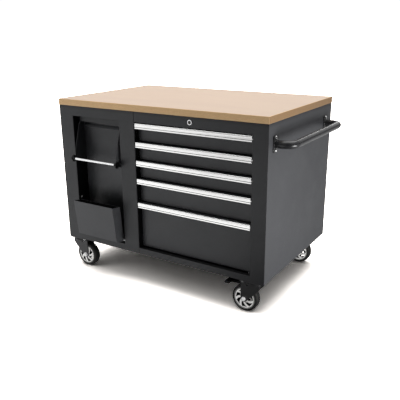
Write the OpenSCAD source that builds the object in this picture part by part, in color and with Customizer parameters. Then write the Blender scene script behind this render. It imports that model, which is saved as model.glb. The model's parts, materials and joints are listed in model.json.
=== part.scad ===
/* [Worktop] */
// Width of the worktop, left to right
top_w = 1130; // [1110:1:1160]
// Depth of the worktop, front to back
top_d = 720; // [715:1:740]
// Thickness of the worktop board
top_t = 30; // [24:1:36]

/* [Cabinet] */
// Height of the steel cabinet under the worktop
cab_h = 687; // [686:1:700]
// Inset of the cabinet under the worktop edge
inset = 2; // [1:0.5:4]
// Sheet thickness of the side, back and inner panels
sheet = 1.5; // [1:0.1:2]
// Sheet thickness of the front frames and the base
front_t = 2; // [1.5:0.1:2.5]
// Left edge of the drawer opening, where the two units meet
seam_x = 464.5; // [460:0.5:480]
// Right edge of the drawer opening
open_r = 1060; // [1040:1:1070]

/* [Recess] */
// Left edge of the open recess
rec_l = 87.6; // [80:0.1:95]
// Right edge of the open recess
rec_r = 377; // [365:1:390]
// Depth of the recess behind the front
rec_d = 73; // [68:1:90]

/* [Drawers] */
// Height of each of the three shallow drawers
pitch_a = 86.1; // [85:0.1:88]
// Height of the fourth drawer
pitch_b = 115.8; // [112:0.1:118]
// Height of the aluminium pull on each drawer
pull_h = 24.7; // [22:0.1:30]
// How far the drawer fronts stand back behind the pulls
front_back = 30; // [24:1:34]
// Length of the drawer slides
slide_len = 600; // [500:10:610]

/* [Bin] */
// Depth of the waste bin, front to back
bin_front = 55; // [50:1:60]
// Outer width of the waste bin
bin_w = 249; // [220:1:255]

/* [Roll holder] */
// Radius of the paper roll rod
rod_r = 6; // [5:0.5:7]
// Radius of the black end knobs
knob_r = 16.5; // [12:0.5:18]

/* [Push handle] */
// Radius of the handle tube
hnd_r = 16.5; // [10:0.5:17]
// Reach of the tube centre from the side panel
hnd_out = 76; // [60:1:90]

/* [Casters] */
// Radius of the wheels over the tread
wheel_r = 62.5; // [60:0.5:63]
// Width of the tyres
wheel_w = 38; // [34:1:40]
// Trail from the swivel axis to the wheel centre
trail = 36; // [32:1:38]
// Mounting height of the casters
cast_h = 157.5; // [156:0.5:160]
// Number of spokes in each rim
spokes = 7; // [5:1:9]

/* [Hidden] */
$fn = 64;

// All sub-parts are drawn from the top front left corner of the worktop:
// x to the right, y to the back, z up. The whole part is then moved so that
// its origin is the middle of its footprint, on the floor.
total_h = top_t + cab_h + cast_h;
x_mid = (top_w - inset + hnd_out + hnd_r) / 2;
y_mid = (top_d - bin_front) / 2;
cx0 = inset;                       // cabinet faces
cx1 = top_w - inset;
cy0 = inset;
cy1 = top_d - inset;
cz0 = -top_t - cab_h;
cz1 = -top_t;
fy = cy0 + front_t;                // back face of the front frames
rail_t = -78;                      // lower edge of the top rail
rail_b = cz0 + 30;                 // upper edge of the bottom rail
rec_t = -78;                       // recess opening, top and bottom
rec_b = cz0 + 33;
pull_1 = -82.9;                     // upper edge of the first pull
pulls = [pull_1, pull_1 - pitch_a, pull_1 - 2 * pitch_a, pull_1 - 3 * pitch_a,
         pull_1 - 3 * pitch_a - pitch_b, rail_b + 1.7];
drw_l = seam_x + 3.8;               // side edges of the drawer fronts and pulls
drw_r = open_r - 3.7;
lock_x = 764;
lock_z = -53.7;
bar_y = 662;
crank = 12;
shift = 2 * crank * sin(45);         // travel of the lock bar for a quarter turn of the key
bar_x = lock_x - crank * sin(45);
bar_studs = [-190, -560];
tub_back = 650;
sl_t = 12.7;                       // slide thickness
wall_l = seam_x;                   // faces that carry the slides
wall_r = open_r + 1;
// casters: [x, y, direction of the trail]
cast = [[53, 44, 0], [1061, 44, 180], [53, 658, 0], [1061, 658, 180]];
hub_z = -cast_h + wheel_r;
bin_l = (rec_l + rec_r - bin_w) / 2;
bin_r = bin_l + bin_w;
piv_y = 11.5;
piv_z = -668;
scr_y = 24;                        // screws in the side walls of the recess
scr_z = -493;
rod_y = -20;
rod_z = -283.5;
chk_l = 102.5;                       // outer face of the left roll cheek
chk_r = 362.5;
chk_t = 2;
hnd_y0 = 62;
hnd_y1 = 632;
hnd_z = -117;
hnd_bend = 42;

module place() { translate([-x_mid, -y_mid, total_h]) children(); }
module box(a, b) { translate(a) cube(b - a); }
// cylinder along y or x from a point
module ycyl(x, y0, y1, z, r, n = 48) { translate([x, y1, z]) rotate([90, 0, 0]) cylinder(r = r, h = y1 - y0, $fn = n); }
module xcyl(x0, x1, y, z, r, n = 48) { translate([x0, y, z]) rotate([0, 90, 0]) cylinder(r = r, h = x1 - x0, $fn = n); }
// profile given in y and z, drawn out along x
module xprof(x0, x1, pts) { translate([x0, 0, 0]) rotate([90, 0, 90]) linear_extrude(height = x1 - x0) polygon(pts); }
// flat rounded plate: 2D rectangle with round corners, exact arcs
module rrect(w, h, r) {
  square([w - 2 * r, h], center = true);
  square([w, h - 2 * r], center = true);
  for (i = [-1, 1], j = [-1, 1]) translate([i * (w / 2 - r), j * (h / 2 - r)]) circle(r = r, $fn = 32);
}

// ---------- worktop and cabinet ----------
module worktop() {
  c = 1.5;
  color([0.80, 0.66, 0.48]) intersection() {
    translate([top_w / 2, top_d / 2, -top_t]) linear_extrude(height = top_t) rrect(top_w, top_d, 3);
    xprof(0, top_w, [[c, 0], [top_d - c, 0], [top_d, -c], [top_d, c - top_t], [top_d - c, -top_t], [c, -top_t], [0, c - top_t], [0, -c]]);
    translate([0, top_d, 0]) rotate([90, 0, 0]) linear_extrude(height = top_d)
      polygon([[c, 0], [top_w - c, 0], [top_w, -c], [top_w, c - top_t], [top_w - c, -top_t], [c, -top_t], [0, c - top_t], [0, -c]]);
  }
}
module left_side_panel() {
  color([0.16, 0.17, 0.18]) {
    box([cx0, fy, cz0], [cx0 + sheet, cy1 - sheet, cz1]);
    box([cx0, fy, cz1 - sheet], [cx0 + 24, cy1 - sheet, cz1]);
    box([cx0, fy, cz0 + front_t], [cx0 + 18, fy + sheet, cz1]);
    box([cx0, cy1 - 2 * sheet, cz0 + front_t], [cx0 + 18, cy1 - sheet, cz1]);
  }
}
module right_side_panel() {
  color([0.30, 0.31, 0.32]) difference() {
    union() {
      box([cx1 - sheet, fy, cz0], [cx1, cy1 - sheet, cz1]);
      box([cx1 - 24, fy, cz1 - sheet], [cx1, cy1 - sheet, cz1]);
      box([cx1 - 18, fy, cz0 + front_t], [cx1, fy + sheet, cz1]);
      box([cx1 - 18, cy1 - 2 * sheet, cz0 + front_t], [cx1, cy1 - sheet, cz1]);
    }
    for (y = [hnd_y0, hnd_y1], s = [-1, 1]) xcyl(cx1 - 3, cx1 + 1, y, hnd_z + s * 26, 4.3);
  }
}
module back_panel() {
  color([0.15, 0.16, 0.17]) {
    box([cx0, cy1 - sheet, cz0], [cx1, cy1, cz1]);
    // standoff studs that carry the sliding lock bar between collar and head
    for (z = bar_studs) {
      ycyl(bar_x + 3, bar_y + 3.4, cy1 - sheet + 0.5, z, 7);
      ycyl(bar_x + 3, bar_y - 1, bar_y + 4, z, 4);
      ycyl(bar_x + 3, bar_y - 3.4, bar_y - 0.4, z, 8);
    }
  }
}
module base_panel() {
  color([0.15, 0.16, 0.17]) difference() {
    union() {
      box([cx0 + sheet, fy, cz0], [cx1 - sheet, cy1 - sheet, cz0 + front_t]);
      // stiffening channels under the drawers and the recess
      for (y = [200, 500]) box([cx0 + 20, y, cz0 + front_t], [seam_x - sheet - 1, y + 40, cz0 + front_t + 12]);
    }
    for (c = cast, i = [-1, 1], j = [-1, 1]) translate([c[0] + i * 40, c[1] + j * 30, cz0 - 1]) cylinder(r = 4.3, h = 5, $fn = 32);
  }
}
module partition_panel() {
  color([0.14, 0.15, 0.16]) box([seam_x - sheet, fy, cz0 + front_t], [seam_x, cy1 - sheet, cz1]);
}
module slide_liner() {
  color([0.14, 0.15, 0.16]) {
    box([wall_r, fy + 4, cz0 + front_t], [wall_r + sheet, 700, -60]);
    box([wall_r, fy + 4, cz0 + front_t + 14], [cx1 - 19, fy + 4 + sheet, -60]);
    box([wall_r, 700 - sheet, cz0 + front_t + 14], [cx1 - sheet, 700, -60]);
  }
}
module left_front_frame() {
  color([0.15, 0.16, 0.17]) difference() {
    box([cx0, cy0, cz0], [seam_x - sheet - 0.2, fy, cz1]);
    box([rec_l, cy0 - 1, rec_b], [rec_r, fy + 1, rec_t]);
  }
}
module right_front_frame() {
  color([0.15, 0.16, 0.17]) difference() {
    union() {
      box([seam_x, cy0, cz0], [cx1, fy, cz1]);
      // folded returns behind the rails and the stile
      box([seam_x + 1, fy, rail_t], [open_r + 0.9, fy + 14, rail_t + 1.5]);
      box([seam_x + 1, fy, rail_b - 1.5], [open_r + 0.9, fy + 20, rail_b]);
      box([open_r, fy, rail_b - 1.5], [open_r + 0.9, fy + 14, rail_t + 1.5]);
    }
    box([seam_x - 1, cy0 - 1, rail_b], [open_r, fy + 1, rail_t]);
    ycyl(lock_x, cy0 - 1, fy + 1, lock_z, 9.7);
  }
}
module recess_tub() {
  w = 1.2;
  color([0.17, 0.18, 0.19]) difference() {
    union() {
      box([rec_l - w, fy, rec_b - w], [rec_r + w, fy + rec_d + w, rec_t + w]);
      box([rec_l - 12, fy, rec_b - 12], [rec_r + 12, fy + w, rec_t + 12]);
    }
    box([rec_l, fy - 1, rec_b], [rec_r, fy + rec_d, rec_t]);
    xcyl(rec_l - 3, rec_l + 3, piv_y, piv_z, 3.2);
    xcyl(rec_r - 3, rec_r + 3, piv_y, piv_z, 3.2);
    xcyl(rec_l - 3, rec_l + 3, scr_y, scr_z, 3.2);
    xcyl(rec_r - 3, rec_r + 3, scr_y, scr_z, 3.2);
  }
}

// ---------- paper roll holder ----------
module roll_cheek(x) {
  difference() {
    union() {
      xprof(x, x + chk_t, [[61, -82], [33, -82], [33, -107], [23, -122], [rod_y + 1.5, -262], [rod_y - 11, rod_z + 3],
        [rod_y - 4, rod_z - 12], [rod_y + 6, rod_z - 13], [61, -312]]);
      xcyl(x, x + chk_t, rod_y, rod_z, 12.5);
    }
    xcyl(x - 1, x + chk_t + 1, rod_y, rod_z, rod_r + 0.3);
    box([x - 1, rod_y - rod_r - 0.3, rod_z], [x + chk_t + 1, rod_y + rod_r + 0.3, rod_z + 60]);
  }
}
module roll_bracket() {
  yb = 61;
  yr = fy + rec_d;
  color([0.19, 0.20, 0.21]) {
    // back plate, leaning back along its upper edge
    xprof(chk_l, chk_r, [[yb, -136], [yb + 11.4, -125.2], [yb + 12.8, -126.6], [yb + 2, -136.9], [yb + 2, -312], [yb, -312]]);
    // angle across the top with the front apron
    xprof(chk_l, chk_r, [[33, -82], [33, -107], [35, -107], [35, -84], [yb, -84], [yb, -82]]);
    roll_cheek(chk_l);
    roll_cheek(chk_r - chk_t);
    // spacer strips that stand on the back of the recess
    for (x = [140, 310]) box([x, yb + 1.5, -300], [x + 14, yr, -160]);
  }
}
module roll_rod() {
  color([0.90, 0.90, 0.92]) xcyl(chk_l - 1 - 5.6, chk_r + 3.5 + 5.6, rod_y, rod_z, rod_r);
}
module knob_half() {
  // round end knob turned about the rod, with the socket for the rod end
  rotate_extrude($fn = 64) difference() {
    union() {
      square([knob_r - 3, 9]);
      translate([0, 3]) square([knob_r, 3]);
      translate([knob_r - 3, 3]) circle(r = 3, $fn = 32);
      translate([knob_r - 3, 6]) circle(r = 3, $fn = 32);
    }
    translate([-1, -1]) square([rod_r + 1, 6.6]);
    // shallow dish in the end face
    translate([-1, 8.2]) square([6, 2]);
    translate([-30, -10]) square([30, 30]);
  }
}
module roll_knobs() {
  color([0.10, 0.10, 0.11]) {
    translate([chk_l - 1, rod_y, rod_z]) rotate([0, -90, 0]) knob_half();
    translate([chk_r + 3.5, rod_y, rod_z]) rotate([0, 90, 0]) knob_half();
  }
}

// ---------- waste bin ----------
bin_a = [-bin_front, -490];
bin_b = [0, -498];
bin_c = [21, -680];
bin_d = [-36, -668];
function unit2(v) = v / norm(v);
// inward normal of a bin wall that runs from p to q
function inw(p, q) = let (u = unit2(q - p)) [-u[1], u[0]];
// meeting point of two lines, each given by a point and a direction
function meet(p, u, q, v) = p + u * ((q - p)[0] * v[1] - (q - p)[1] * v[0]) / (u[0] * v[1] - u[1] * v[0]);
module waste_bin() {
  t = sheet;
  hem = 3;
  nf = inw(bin_a, bin_d);
  nb = inw(bin_d, bin_c);
  nr = inw(bin_c, bin_b);
  uf = unit2(bin_d - bin_a);
  ur = unit2(bin_c - bin_b);
  low_f = meet(bin_a + nf * t, uf, bin_d + nb * t, bin_c - bin_d);
  low_r = meet(bin_d + nb * t, bin_c - bin_d, bin_c + nr * t, ur);
  color([0.20, 0.21, 0.22]) difference() {
    xprof(bin_l, bin_r, [bin_a, bin_b, bin_c, bin_d]);
    // hollow, narrower at the folded hems along the upper edges
    xprof(bin_l + t, bin_r - t, [low_f, bin_a + uf * 12 + nf * t, bin_a + uf * 12 + nf * hem, bin_a - uf * 12 + nf * hem,
      bin_b - ur * 12 + nr * hem, bin_b + ur * 12 + nr * hem, bin_b + ur * 12 + nr * t, low_r]);
    xcyl(bin_l - 1, bin_l + 5, piv_y, piv_z, 3.05);
    xcyl(bin_r - 5, bin_r + 1, piv_y, piv_z, 3.05);
  }
}

// ---------- push handle and fasteners ----------
module push_handle() {
  xo = cx1 + hnd_out;
  color([0.08, 0.08, 0.09]) {
    for (y = [hnd_y0, hnd_y1]) {
      translate([cx1, y, hnd_z]) rotate([0, 90, 0]) difference() {
        linear_extrude(height = 4) rrect(70, 38, 10);
        for (s = [-1, 1]) translate([s * 26, 0, -1]) cylinder(r = 4.3, h = 6, $fn = 32);
      }
      xcyl(cx1 + 3.9, xo - hnd_bend, y, hnd_z, hnd_r);
      // weld bead
      translate([cx1 + 4, y, hnd_z]) rotate([0, 90, 0]) rotate_extrude($fn = 48) polygon([[0, 0], [hnd_r + 1.5, 0], [hnd_r, 2], [0, 2]]);
    }
    translate([xo, 0, hnd_z]) rotate([-90, 0, 0]) translate([0, 0, hnd_y0 + hnd_bend]) cylinder(r = hnd_r, h = hnd_y1 - hnd_y0 - 2 * hnd_bend, $fn = 48);
    translate([xo - hnd_bend, hnd_y0 + hnd_bend, hnd_z]) rotate([0, 0, -90]) rotate_extrude(angle = 90, $fn = 64) translate([hnd_bend, 0]) circle(r = hnd_r, $fn = 48);
    translate([xo - hnd_bend, hnd_y1 - hnd_bend, hnd_z]) rotate_extrude(angle = 90, $fn = 64) translate([hnd_bend, 0]) circle(r = hnd_r, $fn = 48);
  }
}
// round-headed screw along +x, head at the far end
module pan_screw(r, hr, hh, l) {
  rotate([0, 90, 0]) {
    translate([0, 0, -l]) cylinder(r = r, h = l + 0.01, $fn = 32);
    difference() {
      rotate_extrude($fn = 32) polygon([[0, 0], [hr, 0], [hr, hh * 0.35], [hr * 0.86, hh * 0.72], [hr * 0.55, hh], [0, hh]]);
      translate([0, 0, hh - 1.8]) cylinder(r = hr * 0.4, h = 3, $fn = 6);
    }
  }
}
module fixing_bolts() {
  color([0.82, 0.82, 0.84]) {
    for (y = [hnd_y0, hnd_y1], s = [-1, 1]) translate([cx1 + 4, y, hnd_z + s * 26]) {
      pan_screw(4, 7.2, 4.6, 14);
      xcyl(-5.5 - 5, -5.5, 0, 0, 7.5, 6);
    }
    for (c = cast, i = [-1, 1], j = [-1, 1]) translate([c[0] + i * 40, c[1] + j * 30, cz0]) {
      translate([0, 0, -3.5]) cylinder(r = 4, h = 14, $fn = 32);
      translate([0, 0, -9]) cylinder(r = 7.5, h = 5.5, $fn = 6);
      translate([0, 0, front_t]) cylinder(r = 7.5, h = 6, $fn = 6);
    }
    // screws that hold the recess, one in each side wall
    translate([rec_l, scr_y, scr_z]) pan_screw(3, 5.5, 3.2, 6);
    translate([rec_r, scr_y, scr_z]) mirror([1, 0, 0]) pan_screw(3, 5.5, 3.2, 6);
    // pivot screws of the bin, each with a bush in the gap and a nut behind the wall
    difference() {
      union() {
        translate([bin_l + sheet + 0.4, piv_y, piv_z]) { xcyl(0, 3, 0, 0, 6); xcyl(-31, 0.1, 0, 0, 3); }
        xcyl(rec_l, bin_l - 0.4, piv_y, piv_z, 6);
        xcyl(rec_l - 6, rec_l - 1.2, piv_y, piv_z, 6, 6);
        translate([bin_r - sheet - 0.4, piv_y, piv_z]) { xcyl(-3, 0, 0, 0, 6); xcyl(-0.1, 31, 0, 0, 3); }
        xcyl(bin_r + 0.4, rec_r, piv_y, piv_z, 6);
        xcyl(rec_r + 1.2, rec_r + 6, piv_y, piv_z, 6, 6);
      }
      translate([bin_l + 3.4, piv_y, piv_z]) xcyl(0, 3, 0, 0, 2.5, 6);
      translate([bin_r - 3.4, piv_y, piv_z]) xcyl(-3, 0, 0, 0, 2.5, 6);
    }
  }
}

// ---------- central lock ----------
module lock_housing() {
  color([0.85, 0.85, 0.87]) difference() {
    union() {
      ycyl(lock_x, cy0 - 2.4, cy0, lock_z, 11);
      ycyl(lock_x, cy0 - 1, fy + 20, lock_z, 9.6);
      ycyl(lock_x, fy + 0.1, fy + 4, lock_z, 13, 6);
    }
    ycyl(lock_x, cy0 - 4, fy + 22, lock_z, 8.05);
  }
}
module lock_barrel() {
  color([0.75, 0.75, 0.77]) difference() {
    union() {
      ycyl(lock_x, cy0 - 1.8, fy + 24, lock_z, 8);
      ycyl(lock_x, fy + 20.4, fy + 24, lock_z, 10);
    }
    box([lock_x - 0.9, cy0 - 3, lock_z - 4.2], [lock_x + 0.9, cy0 + 3, lock_z + 4.2]);
  }
}
module lock_rod() {
  px = lock_x - crank * cos(45);
  pz = lock_z - crank * sin(45);
  color([0.70, 0.70, 0.72]) {
    ycyl(lock_x, fy + 24, bar_y - 7, lock_z, 4);
    ycyl(lock_x, bar_y - 11, bar_y - 7, lock_z, 8);
    translate([lock_x, bar_y - 7, lock_z]) rotate([0, 135, 0]) box([0, -4, -4], [crank, 0, 4]);
    ycyl(px, bar_y - 11, bar_y - 7, pz, 4);
    ycyl(px, bar_y - 8, bar_y + 6, pz, 2.5);
  }
}
// the bar slides sideways on the studs, driven by the crank pin in its upright slot
module lock_bar() {
  z1 = lock_z - crank - 3.1;
  z2 = lock_z - crank * sin(45) + 3.1;
  color([0.66, 0.67, 0.68]) {
    difference() {
      union() {
        box([bar_x - 10, bar_y, -669], [bar_x + 10, bar_y + 3, z2 + 5]);
        for (z = bar_studs) box([bar_x - 22, bar_y, z - 11], [bar_x + 13, bar_y + 3, z + 11]);
      }
      box([bar_x - 3.2, bar_y - 1, z1], [bar_x + 3.2, bar_y + 4, z2]);
      for (z = bar_studs) {
        box([bar_x + 3 - shift, bar_y - 1, z - 4.35], [bar_x + 3, bar_y + 4, z + 4.35]);
        ycyl(bar_x + 3 - shift, bar_y - 1, bar_y + 4, z, 4.35);
        ycyl(bar_x + 3, bar_y - 1, bar_y + 4, z, 4.35);
      }
    }
    // upright tabs that reach forward to each drawer
    for (i = [0:4]) box([bar_x - 10, tub_back + 2, pulls[i + 1] + 12], [bar_x - 7, bar_y + 0.1, pulls[i + 1] + 36]);
  }
}

// ---------- drawers ----------
function d_top(i) = pulls[i - 1];
function d_bot(i) = pulls[i] + 3.7;
function s_mid(i) = d_bot(i) + 32;
module drawer_tub(i) {
  w = 1.2;
  zb = d_bot(i) + 1;
  zt = d_top(i) - (i == 5 ? 34 : 22);
  x0 = wall_l + sl_t;
  x1 = wall_r - sl_t;
  y0 = front_back + w;
  color([0.15, 0.16, 0.17]) {
    box([drw_l, front_back, d_bot(i)], [drw_r, y0, d_top(i) - 1]);
    // front panel folds: inward below, forward above to the pull
    box([drw_l, front_back, d_bot(i)], [drw_r, front_back + 12, d_bot(i) + w]);
    box([drw_l, cy0 + 3.6, d_top(i) - 1 - w], [drw_r, y0, d_top(i) - 1]);
    difference() {
      union() {
        box([x0, y0 - 0.1, zb], [x1, tub_back, zt]);
        // hems folded double along the tops of the side walls
        box([x0, y0 + 12, zt - 9], [x0 + 2 * w, tub_back, zt]);
        box([x1 - 2 * w, y0 + 12, zt - 9], [x1, tub_back, zt]);
      }
      difference() {
        box([x0 + w, y0, zb + w], [x1 - w, tub_back - w, zt + 1]);
        box([x0, y0 + 12, zt - 9], [x0 + 2 * w, tub_back, zt]);
        box([x1 - 2 * w, y0 + 12, zt - 9], [x1, tub_back, zt]);
      }
    }
  }
}
module drawer_pull(i) {
  z = d_top(i);
  y = cy0 - 1;
  g = z - 17.2;
  color([0.88, 0.88, 0.89])
    // face strip, web and rear flange; the fingers reach in from below
    xprof(drw_l, drw_r, [[y + 2.4, z], [y + 3.4, z - 0.2], [y + 4, z - 1], [y + 4, z - 2.6], [y + 2.6, z - 4.6], [y + 2.6, z - 9],
      [front_back, z - 9], [front_back, z - 21], [front_back - 2, z - 21], [front_back - 2, z - 11.5],
      [y + 2.6, z - 11.5], [y + 2.6, z - pull_h + 0.8], [y + 1.8, z - pull_h], [y + 0.8, z - pull_h],
      [y, z - pull_h + 0.8], [y, g - 1.4], [y + 1.5, g - 1.2], [y + 1.5, g + 1.2], [y, g + 1.4],
      [y + 0.2, z - 8.2], [y + 0.6, z - 7.9], [y + 0.6, z - 7.4], [y + 0.3, z - 7.1], [y + 0.4, z - 3.2], [y + 0.8, z - 1.4], [y + 1.5, z - 0.4]]);
}
// slide member profile in depth s from the wall and height, side +1 left, -1 right
module slide_prof(s0, web, s1, hh, y0, y1, zc) {
  for (side = [1, -1]) {
    x = side > 0 ? wall_l : wall_r;
    translate([x, 0, zc]) mirror([side > 0 ? 0 : 1, 0, 0]) {
      box([web, y0, -hh], [web + 1.2, y1, hh]);
      box([s0, y0, hh - 1.2], [s1, y1, hh]);
      box([s0, y0, -hh], [s1, y1, 1.2 - hh]);
    }
  }
}
module slide_outers() {
  color([0.72, 0.73, 0.74]) for (i = [1:5]) slide_prof(0, 0, 8.5, 22.5, 34, 34 + slide_len, s_mid(i));
}
module slide_mid(i) {
  color([0.76, 0.77, 0.78]) slide_prof(3, 3, 9.7, 19, 36, slide_len - 4, s_mid(i));
}
module slide_inner(i) {
  color([0.80, 0.81, 0.82]) slide_prof(5.5, 11.5, 12.7, 15.5, 34, 34 + slide_len, s_mid(i));
}

// ---------- casters ----------
// local frame: swivel axis at the origin on the underside of the cabinet,
// trail along +x, axle along y
module caster_plates() {
  color([0.12, 0.12, 0.13]) for (c = cast) translate([c[0], c[1], cz0]) rotate([0, 0, c[2]]) {
    difference() {
      translate([0, 0, -3.5]) linear_extrude(height = 3.5) rrect(105, 85, 8);
      for (i = [-1, 1], j = [-1, 1]) translate([i * 40, j * 30, -5]) cylinder(r = 4.3, h = 8, $fn = 32);
    }
    // upper race, kingpin and its nut
    translate([0, 0, -8]) rotate_extrude($fn = 64) polygon([[0, 0], [28, 0], [32, 2.5], [32, 4.6], [0, 4.6]]);
    translate([0, 0, -25]) cylinder(r = 6, h = 18, $fn = 48);
    translate([0, 0, -26]) cylinder(r = 10, h = 7, $fn = 6);
  }
}
module caster_at(k) { translate([cast[k][0], cast[k][1], cz0]) rotate([0, 0, cast[k][2]]) children(); }
leg_i = wheel_w / 2 + 2.5;
leg_o = leg_i + 4;
module fork() {
  color([0.13, 0.13, 0.14]) difference() {
    union() {
      // lower race
      translate([0, 0, -14.6]) rotate_extrude($fn = 64) polygon([[0, 0], [36, 0], [36, 3], [33, 6.1], [0, 6.1]]);
      translate([0, 0, -18.5]) linear_extrude(height = 4) {
        circle(r = 38, $fn = 64);
        translate([-40, -leg_o]) square([92, 2 * leg_o]);
      }
      for (s = [-1, 1]) translate([0, s * (leg_i + 2) + 2, 0]) rotate([90, 0, 0]) linear_extrude(height = 4) {
        polygon([[-40, -14.5], [52, -14.5], [52, -30], [trail + 15, hub_z], [trail, hub_z - 15], [trail - 10.5, hub_z - 10.7], [-40, -34]]);
        translate([trail, hub_z]) circle(r = 15, $fn = 48);
      }
    }
    translate([0, 0, -30]) cylinder(r = 6.05, h = 30, $fn = 48);
    ycyl(trail, -40, 40, hub_z, 6.05);
    ycyl(20, -40, 40, -23.5, 3.05, 32);
  }
}
module axle() {
  color([0.78, 0.78, 0.80]) {
    ycyl(trail, -leg_o - 1, leg_o + 9, hub_z, 6);
    ycyl(trail, -leg_o - 7, -leg_o, hub_z, 10.4, 6);
    ycyl(trail, -leg_o - 1.6, -leg_o, hub_z, 11.5);
    ycyl(trail, leg_o, leg_o + 6.5, hub_z, 10.4, 6);
    for (s = [-1, 1]) ycyl(trail, min(s * (leg_i - 0.1), s * (wheel_w / 2 + 0.4)), max(s * (leg_i - 0.1), s * (wheel_w / 2 + 0.4)), hub_z, 9);
  }
}
rim_r = wheel_r - 11.5;
// one opening between two spokes: a swept crescent
module spoke_gap() {
  n = 8;
  da = 360 / spokes;
  polygon(concat(
    [for (k = [0:n]) let (t = k / n, r = 18 + 25 * t, a = 24 * t) [r * cos(a), r * sin(a)]],
    [for (k = [n:-1:0]) let (t = k / n, r = 18 + 25 * t, a = 24 * t + da * (0.44 + 0.24 * t)) [r * cos(a), r * sin(a)]]));
}
module rim() {
  color([0.80, 0.80, 0.81]) translate([trail, 0, hub_z]) rotate([90, 0, 0]) difference() {
    union() {
      cylinder(r = 13, h = wheel_w, center = true, $fn = 48);
      difference() {
        cylinder(r = rim_r, h = wheel_w - 1, center = true, $fn = 96);
        cylinder(r = rim_r - 5, h = wheel_w + 2, center = true, $fn = 96);
      }
      for (s = [0, 180]) rotate([s, 0, 0]) translate([0, 0, wheel_w / 2 - 7]) linear_extrude(height = 5.5) difference() {
        circle(r = rim_r - 2, $fn = 96);
        for (k = [0:spokes - 1]) rotate(k * 360 / spokes) spoke_gap();
      }
    }
    cylinder(r = 6.05, h = wheel_w + 4, center = true, $fn = 48);
  }
}
module tyre() {
  w = wheel_w / 2;
  r = wheel_r;
  color([0.20, 0.20, 0.21]) translate([trail, 0, hub_z]) rotate([90, 0, 0]) rotate_extrude($fn = 96)
    polygon([[rim_r, -w + 0.5], [rim_r + 4, -w], [r - 5, -w + 0.6], [r - 2, -w + 2.4], [r - 0.6, -w + 5],
      [r, -w + 8], [r, -5], [r - 2, -4.4], [r - 2, -2.8], [r, -2.2], [r, 2.2], [r - 2, 2.8], [r - 2, 4.4], [r, 5], [r, w - 8],
      [r - 0.6, w - 5], [r - 2, w - 2.4], [r - 5, w - 0.6], [rim_r + 4, w], [rim_r, w - 0.5]]);
}
module pedal() {
  color([0.05, 0.05, 0.05]) {
    translate([0, 16, 0]) rotate([90, 0, 0]) linear_extrude(height = 32)
      polygon([[13, -20.5], [50, -25], [80, -29.5], [112, -32], [112, -36], [80, -33.5], [55, -28.8], [46, -28.4], [30, -28.6], [13, -26.4]]);
    // broad toe pad
    translate([0, 23, 0]) rotate([90, 0, 0]) linear_extrude(height = 46) {
      polygon([[108, -31.5], [130, -31], [130, -43], [112, -42.5], [106, -36]]);
      translate([130, -37]) circle(r = 6, $fn = 32);
    }
    ycyl(20, -leg_o - 1.5, leg_o + 1.5, -23.5, 3, 32);
    ycyl(20, leg_o + 0.3, leg_o + 2, -23.5, 5, 32);
    ycyl(20, -leg_o - 2, -leg_o - 0.3, -23.5, 5, 32);
  }
}

place() worktop();
place() left_side_panel();
place() right_side_panel();
place() back_panel();
place() base_panel();
place() partition_panel();
place() slide_liner();
place() left_front_frame();
place() right_front_frame();
place() recess_tub();
place() roll_bracket();
place() push_handle();
place() fixing_bolts();
place() lock_housing();
place() slide_outers();
place() caster_plates();
place() drawer_tub(1);  // drawer_1_tub
place() drawer_pull(1);  // drawer_1_pull
place() slide_inner(1);  // drawer_1_slide_inner
place() slide_mid(1);  // drawer_1_slide_mid
place() drawer_tub(2);  // drawer_2_tub
place() drawer_pull(2);  // drawer_2_pull
place() slide_inner(2);  // drawer_2_slide_inner
place() slide_mid(2);  // drawer_2_slide_mid
place() drawer_tub(3);  // drawer_3_tub
place() drawer_pull(3);  // drawer_3_pull
place() slide_inner(3);  // drawer_3_slide_inner
place() slide_mid(3);  // drawer_3_slide_mid
place() drawer_tub(4);  // drawer_4_tub
place() drawer_pull(4);  // drawer_4_pull
place() slide_inner(4);  // drawer_4_slide_inner
place() slide_mid(4);  // drawer_4_slide_mid
place() drawer_tub(5);  // drawer_5_tub
place() drawer_pull(5);  // drawer_5_pull
place() slide_inner(5);  // drawer_5_slide_inner
place() slide_mid(5);  // drawer_5_slide_mid
place() caster_at(0) fork();  // caster_fl_fork
place() caster_at(0) axle();  // caster_fl_axle
place() caster_at(0) rim();  // caster_fl_rim
place() caster_at(0) tyre();  // caster_fl_tyre
place() caster_at(1) fork();  // caster_fr_fork
place() caster_at(1) axle();  // caster_fr_axle
place() caster_at(1) rim();  // caster_fr_rim
place() caster_at(1) tyre();  // caster_fr_tyre
place() caster_at(2) fork();  // caster_rl_fork
place() caster_at(2) axle();  // caster_rl_axle
place() caster_at(2) rim();  // caster_rl_rim
place() caster_at(2) tyre();  // caster_rl_tyre
place() caster_at(3) fork();  // caster_rr_fork
place() caster_at(3) axle();  // caster_rr_axle
place() caster_at(3) rim();  // caster_rr_rim
place() caster_at(3) tyre();  // caster_rr_tyre
place() caster_at(1) pedal();  // brake_pedal_fr
place() caster_at(3) pedal();  // brake_pedal_rr
place() roll_rod();
place() roll_knobs();
place() waste_bin();
place() lock_barrel();
place() lock_rod();
place() lock_bar();
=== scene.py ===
import json
import math

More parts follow.
